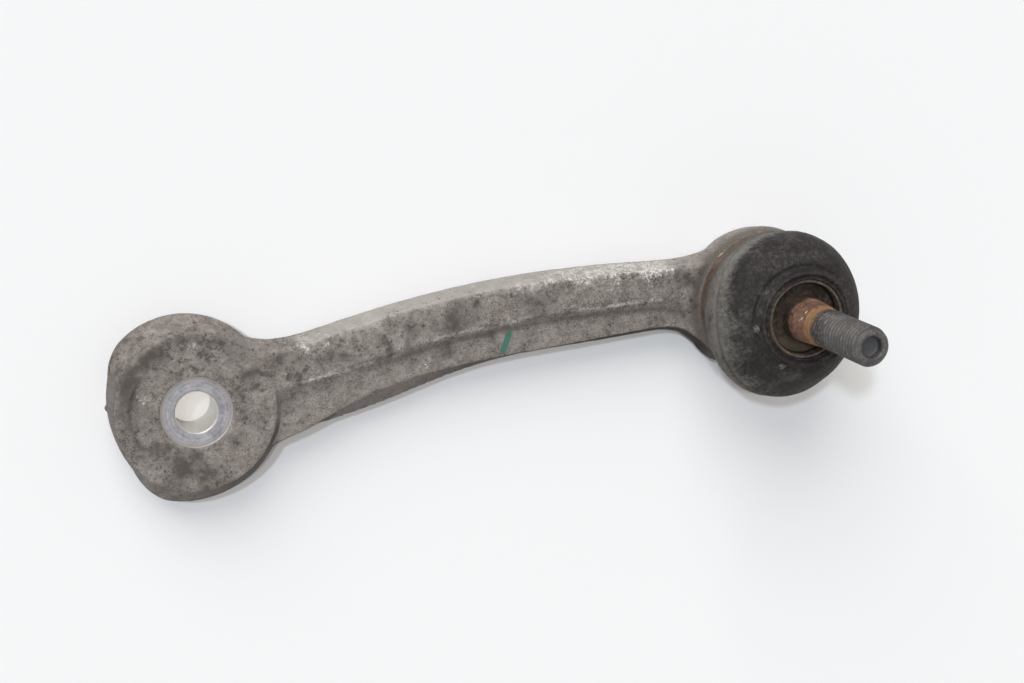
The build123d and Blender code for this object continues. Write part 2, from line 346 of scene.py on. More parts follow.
def scoop(points):
    """The shallow hollow that the forging die left beside the washer mark."""
    radius = np.hypot(points[:, 0], points[:, 1])
    angle = np.degrees(np.arctan2(points[:, 1], points[:, 0])) % 360
    reach = smooth_step(angle, 128, 150) * smooth_step(-angle, -222, -196)
    wall = smooth_step(scoop_radius - radius, 0.0, 1.2)
    floor = np.clip((radius - washer_mark_radius) / (scoop_radius - washer_mark_radius), 0, 1)
    top = points[:, 2] > 4.0
    return scoop_depth * reach * wall * floor * top


def facing(points, normals):
    """The normals, with the round walls of the eye and the housing facing straight outward."""
    faced = normals.copy()
    for x, reach in ((0.0, eye_reach), (axis_x, housing_radius + 1.5)):
        out = points - np.array((x, axis_y, 0.0))
        out[:, 2] = 0
        radius = np.linalg.norm(out, axis=1)[:, None]
        share = smooth_step(-radius, -reach - 2.0, -reach) * (radius > 12)
        level = np.linalg.norm(normals[:, :2], axis=1)[:, None]
        faced[:, :2] += share * (level * (out / radius)[:, :2] - faced[:, :2])
    return faced


def painted_side_shade(points, plain_normals):
    """Painted shade on the side walls that face the ground or away from the rubbed band."""
    normals = facing(points, plain_normals)
    steep = smooth_step(-normals[:, 2], -0.75, -0.4)
    at_housing = smooth_step(points[:, 0], 120, 135)
    turned = normals[:, 0] * (1.0 - 0.55 * at_housing) - 0.35 * at_housing
    front = smooth_step(-normals[:, 1], 0.0, 0.6) * smooth_step(turned, -0.8, -0.3)
    left = 0.45 * smooth_step(-normals[:, 0], 0.3, 0.8) * smooth_step(-points[:, 0], -10, 0)
    low = smooth_step(-points[:, 2], -3.8, -3.2) * smooth_step(-normals[:, 1], -0.1, 0.2)
    on_arm = smooth_step(points[:, 0], 24, 30) * smooth_step(-points[:, 0], -146, -134)
    # Towards the housing the arm's low flank gets a deeper painted shadow.
    deeper_towards_housing = smooth_step(points[:, 0], 88, 112)
    arm = low * on_arm * (0.4 + 0.6 * smooth_step(points[:, 0], 55, 85) + 0.9 * deeper_towards_housing)
    return np.maximum(steep * np.maximum(front, left), arm)


def nub(points):
    """The stub of flash left on the parting line of the eye."""
    away = np.linalg.norm(points - np.array(nub_place), axis=1)
    return nub_height * np.exp(-((away / nub_height) ** 2))


def forged_relief(points):
    """How far the forged skin stands above the plain form: slow waves, dents and pits."""
    height = np.empty(len(points))
    for i, p in enumerate(points):
        wave = noise.noise(Vector(p) * 0.07)
        dent = noise.noise(Vector(p) * 0.33)
        pit = max(0.0, noise.noise(Vector(p) * 1.1) - 0.32)
        height[i] = 0.13 * wave + 0.06 * dent - 0.22 * pit
    return height


def ragged(points, size, reach):
    """The points moved sideways by noise, so that marks drawn on them get ragged outlines."""
    moved_points = points.copy()
    for i, p in enumerate(points):
        push = noise.noise_vector(Vector(p) / size) + 0.5 * noise.noise_vector(Vector(p) * 2.3 / size)
        moved_points[i] += reach * np.array(push)
    return moved_points


def spot_field(points, spots):
    """1 in the middle of a spot, falling in a straight line past 0 at its edge."""
    field = np.full(len(points), -3.0)
    for x, y, radius, strength in spots:
        away = np.hypot(points[:, 0] - x, points[:, 1] - y) / radius
        field = np.maximum(field, strength * (1.0 - away))
    return field


def line_field(points, line, width):
    """The same along a line of (x, y, strength) places."""
    field = np.full(len(points), -3.0)
    for (ax, ay, a), (bx, by, b) in zip(line, line[1:]):
        run = np.array([bx - ax, by - ay])
        t = ((points[:, 0] - ax) * run[0] + (points[:, 1] - ay) * run[1]) / (run @ run)
        t = np.clip(t, 0, 1)
        away = np.hypot(points[:, 0] - ax - t * run[0], points[:, 1] - ay - t * run[1])
        field = np.maximum(field, (a + (b - a) * t) * (1.0 - away / width))
    return field


def store_attribute(obj, name, values):
    attribute = obj.data.attributes.new(name, "FLOAT", "POINT")
    attribute.data.foreach_set("value", values.astype(np.float32))


def cut_round(obj, x, radius):
    """Takes an upright cylinder out of obj, over its full height."""
    angles = np.arange(turns) * 2 * math.pi / turns
    ring = np.stack([x + radius * np.cos(angles), radius * np.sin(angles)], 1)
    bottom = np.column_stack([ring, np.full(turns, -20.0)])
    top = np.column_stack([ring, np.full(turns, 40.0)])
    cutter = skin_rings("cutter", [bottom, top])
    modifier = obj.modifiers.new("cut", "BOOLEAN")
    modifier.operation = "DIFFERENCE"
    modifier.solver = "EXACT"
    modifier.object = cutter
    apply_modifiers(obj)
    bpy.data.objects.remove(cutter)


def forged_link():
    """The forging's skin: the CAD body with forged fillets, eased edges and a cast-like relief."""
    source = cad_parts["link_arm"]
    obj = bpy.data.objects.new("forged_link", source.data.copy())
    bpy.context.scene.collection.objects.link(obj)
    obj.data.materials.clear()
    remesh = obj.modifiers.new("remesh", "REMESH")
    remesh.mode = "VOXEL"
    remesh.voxel_size = arm_voxel * MM
    wrap = obj.modifiers.new("wrap", "SHRINKWRAP")
    wrap.target = source
    wrap.wrap_method = "NEAREST_SURFACEPOINT"
    apply_modifiers(obj)
    points = mesh_points(obj)
    pairs = edge_pairs(obj)
    free = away_from_machining(points)
    plain_normals = point_normals(obj)
    points = forge_fillets(points, pairs, obj, free)
    normals = point_normals(obj)
    rounding = np.sum((points - neighbour_mean(points, pairs)) * normals, axis=1) / arm_voxel
    for _ in range(6):
        rounding = neighbour_mean(rounding, pairs)
    upper = np.where(points[:, 2] > 0.5, 0.0, -4.0)
    on_top = np.where(points[:, 2] > 2.6, 0.0, -4.0)
    broken = ragged(points, 3.2, 2.2)
    wear_and_glint = np.maximum(spot_field(broken, wear_and_glint_spots), line_field(broken, edge_wear, 2.4))
    # Stains, and painted shade along the hollow's wall.
    stain_and_shade_field = np.maximum(spot_field(broken, stains), line_field(broken, scoop_wall_shade, 3.0))
    fields = {
        "rounding": rounding,
        "stain_and_shade": stain_and_shade_field + upper,
        "soft": line_field(broken, soft_wear, 3.6) + upper,
        "wear_and_glint": wear_and_glint + upper,
        "ridge": line_field(points, ridge_wear_and_highlight, 1.5) + upper,
        "crease": line_field(points, step_shade_line, 1.6) + on_top,
        "dab": line_field(points, paint_dab, 1.1) + on_top,
        "band": rubbed_and_lit_band(points, normals),
        "grubby": near_boot(points),
        # Painted shade on the side walls that face away from the light.
        "side": painted_side_shade(points, plain_normals),
    }
    height = (forged_relief(points) - scoop(points)) * free
    points = np.clip(points + height[:, None] * normals, np.array(link_low), np.array(link_high))
    set_points(obj, points + nub(points)[:, None] * normals)
    for name, values in fields.items():
        store_attribute(obj, name, values)
    cut_round(obj, 0.0, washer_mark_radius)
    cut_round(obj, axis_x, housing_cut_radius)
    obj.data.shade_smooth()
    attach(obj, "link")
    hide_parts("link_arm")
    return obj


def eye_lining():
    """The machined bore with its chamfers and the ring the bolt's washer has pressed in."""
    top = eye_top_z
    bottom = -top
    floor = top - washer_mark_depth
    wide = bore_radius + bore_chamfer
    outer = washer_mark_radius + 0.02
    profile = [
        (outer, 0.0),
        (outer, top),
        (outer - 0.15, top - 0.02),
        (outer - 0.35, floor),
        (wide, floor),
        (bore_radius, floor - bore_chamfer),
        (bore_radius, bottom + bore_chamfer),
        (wide, bottom),
        (outer, bottom),
        (outer, 0.0),
    ]
    line = rounded_profile(profile, 0.12, 0.6)
    rings = [moved(circle(r, z), 0.0) for r, z in line[:-1]]
    obj = skin_rings("eye_lining", rings, closed=True)
    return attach(obj, "link")


def housing_lining():
    """The inside of the housing, with the lip rolled over the closing plate."""
    outer = housing_cut_radius + 0.02
    bottom = link_low.z
    profile = [
        (outer, 0.0),
        (outer, bottom),
        (lip_opening_radius, bottom),
        (lip_opening_radius, bottom + lip_thickness),
        (pocket_radius, bottom + lip_thickness),
        (pocket_radius, pocket_top_z),
        (seat_bore_radius, pocket_top_z),
        (seat_bore_radius, housing_top_z - 0.6),
        (outer, housing_top_z - 0.6),
        (outer, 0.0),
    ]
    line = rounded_profile(profile, 0.3, 0.9)
    rings = [circle(r, z) for r, z in line[:-1]]
    obj = skin_rings("housing_lining", rings, closed=True)
    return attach(obj, "link")


# Ball stud
def thread_surface(angle, z, limit):
    """The stud's radius on the thread, no further out than limit."""
    phase = (z / thread_pitch - angle / (2 * math.pi)) % 1.0
    flank = np.clip(1.25 * (1 - np.abs(2 * phase - 1)) - 0.1, 0.0, 1.0)
    fade = smooth_step(z - thread_start_z, 0.8, 3.2)
    return np.minimum(thread_radius - thread_depth * flank * fade, limit)


def socket_radius(angle):
    """The hexagon socket's half width at an angle, with worn corners."""
    sector = (angle + math.pi / 6) % (math.pi / 3) - math.pi / 6
    return 0.45 * hex_half_width / np.cos(sector) + 0.55 * 1.07 * hex_half_width


def stud_rings():
    """Rings from the ball up the shank and thread, over the tip and down into the hex socket."""
    angles = np.arange(turns) * 2 * math.pi / turns
    neck_height = math.sqrt(ball_radius**2 - neck_radius**2)
    rings = []
    for tilt in np.radians(np.arange(-89, 62, 4)):
        height = ball_radius * math.sin(tilt)
        if height < neck_height - 0.2:
            rings.append(circle(ball_radius * math.cos(tilt), ball_centre_z + height))
    fillet = [
        (
            shank_root_radius + shank_fillet - shank_fillet * math.sin(t),
            collar_top_z + shank_fillet - shank_fillet * math.cos(t),
        )
        for t in np.radians(np.arange(0, 91, 10))
    ]
    profile = [
        (neck_radius, ball_centre_z + neck_height),
        (neck_radius, neck_end_z),
        (collar_radius - 0.5, collar_bottom_z),
        (collar_radius, collar_bottom_z + 0.5),
        (collar_radius, collar_top_z - 0.5),
        (collar_radius - 0.5, collar_top_z),
        *fillet,
        (shank_end_radius, thread_start_z - 0.25),
        (thread_radius, thread_start_z),
    ]
    rings += [circle(r, z) for r, z in rounded_profile(profile, 0.15, 0.5)]
    tip = stud_high.z
    for z in np.arange(thread_start_z + 0.1, tip - 0.02, 0.1):
        limit = min(thread_radius, thread_radius - tip_chamfer + (tip - z))
        ring = circle(1.0, z)
        radius = thread_surface(angles, z, limit)
        ring[:, 0] = axis_x + radius * np.cos(angles)
        ring[:, 1] = axis_y + radius * np.sin(angles)
        rings.append(ring)
    face = thread_radius - tip_chamfer
    rings += [circle(r, tip) for r in (face - 0.02, 3.4, 3.15, 3.05)]
    socket = [(0.0, 0.03), (0.3, 0.12), (0.7, 0.3), (1.0, 0.5), (1.0, 0.8), (1.0, 1.3), (1.0, 1.9)]
    for share, drop in [*socket, (1.0, socket_dirt_depth)]:
        ring = circle(1.0, tip - drop)
        radius = (1 - share) * 3.02 + share * socket_radius(angles)
        ring[:, 0] = axis_x + radius * np.cos(angles)
        ring[:, 1] = axis_y + radius * np.sin(angles)
        rings.append(ring)
    floor = tip - socket_dirt_depth
    return rings + [circle(r, floor - d) for r, d in ((2.2, 0.12), (1.5, 0.25), (0.7, 0.3), (0.2, 0.3))]


def mark_stud(obj):
    """Two painted glints on the shank, and how deep each point lies in the thread."""
    points = mesh_points(obj)
    field = np.full(len(points), -3.0)
    for ends in stud_glints:
        start, end = (np.array(p) for p in ends)
        run = end - start
        t = np.clip((points - start) @ run / (run @ run), 0, 1)
        away = np.linalg.norm(points - start - t[:, None] * run, axis=1)
        field = np.maximum(field, 1.0 - away / 0.5)
    store_attribute(obj, "glint", field)
    radius = np.hypot(points[:, 0] - axis_x, points[:, 1] - axis_y)
    depth = np.clip((thread_radius - radius) / thread_depth, 0, 1)
    threaded = smooth_step(points[:, 2], thread_start_z, thread_start_z + 1)
    threaded *= smooth_step(-points[:, 2], -stud_high.z + 0.6, -stud_high.z + 1.4)
    store_attribute(obj, "groove", depth * threaded * (radius > 3.4))


def ball_stud():
    obj = skin_rings("threaded_stud", stud_rings())
    mark_stud(obj)
    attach(obj, "stud")
    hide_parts("ball_stud")
    return obj


# Boot
def spline(values, at):
    """A natural cubic through values at 0, 1, 2 and so on, read at other places."""
    values = np.array(values, float)
    count = len(values)
    system = np.eye(count) * 4
    system[0, 0] = system[-1, -1] = 2
    system += np.eye(count, k=1) + np.eye(count, k=-1)
    rise = np.empty(count)
    rise[0] = 3 * (values[1] - values[0])
    rise[-1] = 3 * (values[-1] - values[-2])
    rise[1:-1] = 3 * (values[2:] - values[:-2])
    slope = np.linalg.solve(system, rise)
    i = np.clip(np.floor(at).astype(int), 0, count - 2)
    t = at - i
    a, b, c, d = values[i], values[i + 1], slope[i], slope[i + 1]
    return (
        a * (1 + 2 * t) * (1 - t) ** 2
        + c * t * (1 - t) ** 2
        + b * t * t * (3 - 2 * t)
        + d * t * t * (t - 1)
    )


def slumped(radius, z, share):
    """A ring of the boot, leaning and moved by its share of the slump."""
    lean = Euler([math.radians(share * t) for t in boot_slump_tilt] + [0.0]).to_matrix()
    flat = circle(radius, 0.0) - np.array([axis_x, axis_y, 0.0])
    leaning = flat @ np.array(lean).T
    place = np.array([axis_x + share * boot_slump[0], axis_y + share * boot_slump[1], z])
    return leaning + place


def wall_line(at):
    """The boot wall's outside as (radius, z, slump share), at places along its sections."""
    reach = housing_radius - boot_lip_radius
    rise = boot_lip_foot_z - boot_foot_z
    radius = boot_lip_radius + spline(boot_spread_shares, at) * reach
    height = boot_foot_z + spline(boot_height_shares, at) * rise
    share = spline(boot_slump_shares, at)
    return np.column_stack([radius, height, share])


def inner_line(line):
    """The inside of the wall, at the wall's thickness from its outside."""
    along = np.gradient(line[:, :2], axis=0)
    along /= np.linalg.norm(along, axis=1)[:, None]
    inner = line.copy()
    inner[:, 0] -= boot_wall * along[:, 1]
    inner[:, 1] += boot_wall * along[:, 0]
    return inner


def at_angle(angles, values, degrees):
    """A value that changes with the angle about the stud, read smoothly between its rows."""
    wrapped = np.concatenate([degrees - 360, degrees, degrees + 360])
    known = np.concatenate([np.array(angles, float) + turn for turn in (-360, 0, 360)])
    read = np.interp(wrapped, known, np.tile(values, 3))
    count = len(degrees)
    width = np.hanning(count // 14)
    return np.convolve(read, width / width.sum(), "same")[count : 2 * count]


def grid_normals(grid):
    """Outward normals of a closed band of rings."""
    around = np.roll(grid, -1, axis=1) - np.roll(grid, 1, axis=1)
    up = np.gradient(grid, axis=0)
    normals = np.cross(around, up)
    return normals / np.linalg.norm(normals, axis=2)[:, :, None]


def boot_relief(at, degrees, grid):
    """How far the rubber stands off its plain wall: a crease, a rounded rim, a trough and dents."""
    from_crease = at[:, None] - at_angle(crease_angles, crease_sections, degrees)[None]
    groove = -0.85 * np.exp(-((from_crease / 0.2) ** 2))
    rim = 0.3 * np.exp(-(((from_crease - 0.55) / 0.4) ** 2))
    trough = -0.6 * np.exp(-(((at - 6.55) / 0.22) ** 2))[:, None]
    height = groove + rim + trough
    for i, row in enumerate(grid):
        for k, p in enumerate(row):
            height[i, k] += 0.22 * noise.noise(Vector(p) * 0.11) + 0.05 * noise.noise(Vector(p) * 0.7)
    ends = smooth_step(at, 0.0, 0.3) * smooth_step(-at, -6.98, -6.7)
    return height * ends[:, None]


def boot_pips(grid):
    """Two small moulded pips beside the lip."""
    height = np.zeros(grid.shape[:2])
    for place in boot_pip_places:
        away = np.linalg.norm(grid - np.array(place), axis=2)
        height += 0.8 * np.exp(-((away / 0.95) ** 4))
    return height


def boot_surface():
    """The wall's outside: sections, rings of points, normals, dust with painted rim highlight, and rust."""
    at = np.concatenate([np.linspace(0, seam_section, 49), np.linspace(seam_section, 7, 69)[1:]])
    line = wall_line(at)
    grid = np.stack([slumped(*row) for row in line])
    degrees = np.arange(turns) * 360 / turns
    normals = grid_normals(grid)
    grid = grid + (boot_relief(at, degrees, grid) + boot_pips(grid))[:, :, None] * normals
    edge = at_angle(dust_and_rim_light_angles, dust_and_rim_light_sections, degrees)[None] - at[:, None]
    crease = at_angle(crease_angles, crease_sections, degrees)[None] - at[:, None]
    # Dust greys the lower flank; over the rim and on the pips the grey is also a painted highlight.
    dust_and_rim_light = smooth_step(edge, -1.3, 0.7) + 1.0 * (boot_pips(grid) > 0.3)
    foot = 0.9 * smooth_step(-at, -1.3, -0.4)[:, None]
    right = 0.5 * at_angle((0, 60, 100, 290, 330), (1.0, 0.6, 0.0, 0.0, 0.8), degrees)[None]
    rust = foot + right + 0.5 * np.exp(-((crease / 0.22) ** 2)) + 0.2 * (crease > 0)
    return at, line, grid, grid_normals(grid), dust_and_rim_light, rust


def boot_half(name, surface, rows, rest_rings):
    """A closed piece from some rows of the boot's outside and the plain rings that close it."""
    at, line, grid, normals, dust_and_rim_light, rust = surface
    obj = skin_rings(name, [*grid[rows], *rest_rings], closed=True)
    points = mesh_points(obj)
    place = obj.data.attributes.new("rest", "FLOAT_VECTOR", "POINT")
    place.data.foreach_set("vector", (points * MM).astype(np.float32).ravel())
    plain = len(points) - grid[rows].size // 3
    store_attribute(obj, "dust_and_rim_light", np.concatenate([dust_and_rim_light[rows].ravel(), np.full(plain, 0.1)]))
    store_attribute(obj, "rusty", np.concatenate([rust[rows].ravel(), np.full(plain, 0.25)]))
    shading = point_normals(obj)
    shading[: grid[rows].size // 3] = normals[rows].reshape(-1, 3)
    obj.data.normals_split_custom_set_from_vertices(shading)
    return obj


def boot_lower(surface):
    """The boot from its foot in the housing's groove up to its widest section."""
    line = surface[1][: seam_row + 1]
    inside = inner_line(line)[::-1]
    inside[0] = (line[-1, 0] - boot_wall, line[-1, 1], 1.0)
    inside = inside[inside[:, 1] > housing_top_z + 0.4]
    foot = [
        (boot_rim_inner, housing_top_z + 0.2, 0.0),
        (boot_rim_inner, boot_foot_z, 0.0),
        (boot_foot_inner, boot_foot_z - 0.3, 0.0),
        (boot_foot_inner, boot_foot_bottom_z, 0.0),
        (boot_foot_radius, boot_foot_bottom_z, 0.0),
        (boot_foot_radius, boot_foot_z - 0.2, 0.0),
        (housing_radius - 0.3, boot_foot_z, 0.0),
    ]
    rings = [slumped(*row) for row in [*inside, *foot]]
    return boot_half("boot_lower", surface, slice(0, seam_row + 1), rings)


def boot_upper(surface):
    """The boot from its widest section over the shoulder to the lip round the mouth."""
    line = surface[1][seam_row:]
    top = boot_high.z
    outer = boot_lip_radius
    inner = boot_mouth_radius
    lip = [
        (outer, boot_lip_foot_z + 0.4),
        (outer, top - 0.5),
        (outer - 0.15, top - 0.15),
        (outer - 0.45, top),
        (outer - 0.75, top - 0.15),
        (outer - 0.95, top - 0.5),
        (outer - 1.1, top - 0.85),
        (outer - 1.35, top - 0.9),
        (inner + 0.45, top - 0.6),
        (inner + 0.35, top - 0.25),
        (inner + 0.2, top - 0.12),
        (inner + 0.06, top - 0.25),
        (inner, top - 0.5),
        (inner, ring_low.z - 0.1),
        (inner - 0.8, ring_low.z - 0.1),
        (inner - 0.8, boot_lip_foot_z - 1.7),
    ]
    inside = inner_line(line)[::-1]
    inside[-1] = (line[0, 0] - boot_wall, line[0, 1], 1.0)
    inside = inside[inside[:, 0] > inner + 0.6]
    rings = [circle(r, z) for r, z in lip] + [slumped(*row) for row in inside]
    return boot_half("boot_upper", surface, slice(seam_row, None), rings)


def dust_boot():
    """Two halves that meet at the widest ring."""
    surface = boot_surface()
    lower = boot_lower(surface)
    upper = boot_upper(surface)
    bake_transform(lower)
    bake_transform(upper)
    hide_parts("dust_boot")
    return lower, upper


def round_band(name, low, high, inner, body, node, edge):
    """A band about the ball joint's axis with eased edges."""
    outer = (high.x - low.x) / 2
    profile = [
        (inner, (low.z + high.z) / 2),
        (inner, low.z),
        (outer, low.z),
        (outer, high.z),
        (inner, high.z),
        (inner, (low.z + high.z) / 2),
    ]
    rings = [circle(r, z) for r, z in rounded_profile(profile, edge, 0.5)[:-1]]
    obj = skin_rings(name, rings, closed=True)
    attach(obj, body)
    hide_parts(node)
    return obj


# Stage
def studio_floor():
    size = 3.0
    corners = [(-size, -size), (size, -size), (size, size), (-size, size)]
    verts = [(x / MM, y / MM, floor_z) for x, y in corners]
    obj = new_object("studio_floor", verts, [(0, 1, 2, 3)])
    return obj


def camera():
    data = bpy.data.cameras.new("camera")
    data.lens = 70.3125
    data.sensor_width = 36
    obj = bpy.data.objects.new("camera", data)
    right = Vector((0.94581, -0.11582, 0.30335))
    up = Vector((0.18254, 0.96229, -0.20171))
    back = Vector((-0.26855, 0.24615, 0.93128))
    turn = Matrix((right, up, back)).transposed().to_4x4()
    place = Matrix.Translation(Vector((-55.92, 129.77, 487.57)) * MM)
    obj.matrix_world = place @ turn
    data.clip_start = 0.02
    bpy.context.scene.collection.objects.link(obj)
    bpy.context.scene.camera = obj
    return obj


def sun(name, towards, energy, spread, colour):
    data = bpy.data.lights.new(name, "SUN")
    data.energy = energy
    data.color = colour
    data.angle = math.radians(spread)
    obj = bpy.data.objects.new(name, data)
    obj.rotation_mode = "QUATERNION"
    obj.rotation_quaternion = Vector(towards).to_track_quat("Z", "Y")
    bpy.context.scene.collection.objects.link(obj)


def lights():
    """An even room, a wide soft window behind, a small lamp at the upper left and a weak flash."""
    world = bpy.data.worlds.new("soft_white")
    world.use_nodes = True
    tree = world.node_tree
    background = tree.nodes["Background"]
    background.inputs["Color"].default_value = (1.03, 1.0, 0.965, 1.0)
    path = tree.nodes.new("ShaderNodeLightPath")
    seen = calc(tree, "MAXIMUM", path.outputs["Is Camera Ray"], path.outputs["Is Glossy Ray"])
    seen = calc(tree, "MAXIMUM", seen, path.outputs["Is Transmission Ray"])
    plug(tree, background.inputs["Strength"], rise(tree, seen, 0.0, 1.0, 0.345, 1.0))
    bpy.context.scene.world = world
    sun("window", (-0.25, 0.8, 0.55), 1.9, 45, (1.03, 1.0, 0.965))
    sun("flash", (-0.27, 0.25, 0.93), 0.5, 3, (1.0, 1.0, 1.0))
    sun("key", (-0.375, 0.365, 0.85), 0.75, 3, (0.87, 1.0, 1.16))


# Materials. Every pattern lies in the part's own frame, in metres.
def start_material(name, roughness=0.6, metallic=0.0):
    material = bpy.data.materials.new(name)
    material.use_nodes = True
    shader = material.node_tree.nodes["Principled BSDF"]
    shader.inputs["Roughness"].default_value = roughness
    shader.inputs["Metallic"].default_value = metallic
    return material, material.node_tree, shader


def plug(tree, socket, value):
    """Links a socket to another, or sets its value."""
    if isinstance(value, bpy.types.NodeSocket):
        tree.links.new(value, socket)
    else:
        socket.default_value = value


def place_of(tree):
    return tree.nodes.new("ShaderNodeTexCoord").outputs["Object"]


def stored(tree, name, output="Fac"):
    """A value kept on the mesh."""
    node = tree.nodes.new("ShaderNodeAttribute")
    node.attribute_name = name
    return node.outputs[output]


def calc(tree, operation, a, b=0.0, c=0.0):
    node = tree.nodes.new("ShaderNodeMath")
    node.operation = operation
    for socket, value in zip(node.inputs, (a, b, c)):
        plug(tree, socket, value)
    return node.outputs[0]


def total(tree, *terms):
    """The sum of (share, value) terms."""
    result = 0.0
    for share, value in terms:
        result = calc(tree, "MULTIPLY_ADD", value, share, result)
    return result


def rise(tree, value, low, high, start=0.0, end=1.0):
    """Goes smoothly from start to end as value goes from low to high."""
    node = tree.nodes.new("ShaderNodeMapRange")
    node.interpolation_type = "SMOOTHSTEP"
    for socket, number in zip(node.inputs, (value, low, high, start, end)):
        plug(tree, socket, number)
    return node.outputs[0]


def grain(tree, place, size, detail=4.0, rough=0.6, warp=0.0):
    """Noise with features of about this size in millimetres."""
    node = tree.nodes.new("ShaderNodeTexNoise")
    plug(tree, node.inputs["Vector"], place)
    node.inputs["Scale"].default_value = 1.0 / (size * MM)
    node.inputs["Detail"].default_value = detail
    node.inputs["Roughness"].default_value = rough
    node.inputs["Distortion"].default_value = warp
    return node.outputs["Fac"]


def stretch(tree, place, scale):
    """The place with each axis stretched, so that grain runs into streaks."""
    node = tree.nodes.new("ShaderNodeVectorMath")
    node.operation = "MULTIPLY"
    plug(tree, node.inputs[0], place)
    node.inputs[1].default_value = scale
    return node.outputs[0]


def ramp(tree, value, stops):
    """A colour read from stops of (value, colour)."""
    node = tree.nodes.new("ShaderNodeValToRGB")
    plug(tree, node.inputs["Fac"], value)
    elements = node.color_ramp.elements
    while len(elements) < len(stops):
        elements.new(0.5)
    for element, (position, colour) in zip(elements, stops):
        element.position = position
        element.color = (*colour, 1.0)
    return node.outputs["Color"]


def over(tree, share, below, above):
    """One colour laid over another by a share."""
    node = tree.nodes.new("ShaderNodeMix")
    node.data_type = "RGBA"
    plug(tree, node.inputs[0], share)
    for socket, colour in ((node.inputs[6], below), (node.inputs[7], above)):
        plug(tree, socket, (*colour, 1.0) if isinstance(colour, tuple) else colour)
    return node.outputs[2]


def bump(tree, shader, height, depth):
    """Fine relief of this depth in millimetres."""
    node = tree.nodes.new("ShaderNodeBump")
    node.inputs["Distance"].default_value = depth * MM
    plug(tree, node.inputs["Height"], height)
    tree.links.new(node.outputs["Normal"], shader.inputs["Normal"])


def split(tree, place):
    """x, y and z of a place, in millimetres."""
    node = tree.nodes.new("ShaderNodeSeparateXYZ")
    plug(tree, node.inputs[0], place)
    return [calc(tree, "MULTIPLY", output, 1.0 / MM) for output in node.outputs]


forged_dark = (0.06, 0.05, 0.043)
forged_mid = (0.16, 0.14, 0.127)
forged_light = (0.27, 0.243, 0.223)
forged_pale = (0.43, 0.405, 0.375)
grime_brown = (0.07, 0.056, 0.045)
# The next two colours are painted shade and painted shadow on the side walls that face away from the light.
side_shade_dark = (0.06, 0.05, 0.045)
shadow_black = (0.02, 0.017, 0.018)
floor_pale = (0.9, 0.9, 0.9)
bore_floor_glow = (0.78, 0.745, 0.69)
bare_metal = (0.66, 0.64, 0.61)
rust_brown = (0.065, 0.035, 0.024)
rust_ochre = (0.165, 0.115, 0.07)
rust_copper = (0.155, 0.083, 0.055)
paint_green = (0.035, 0.155, 0.11)


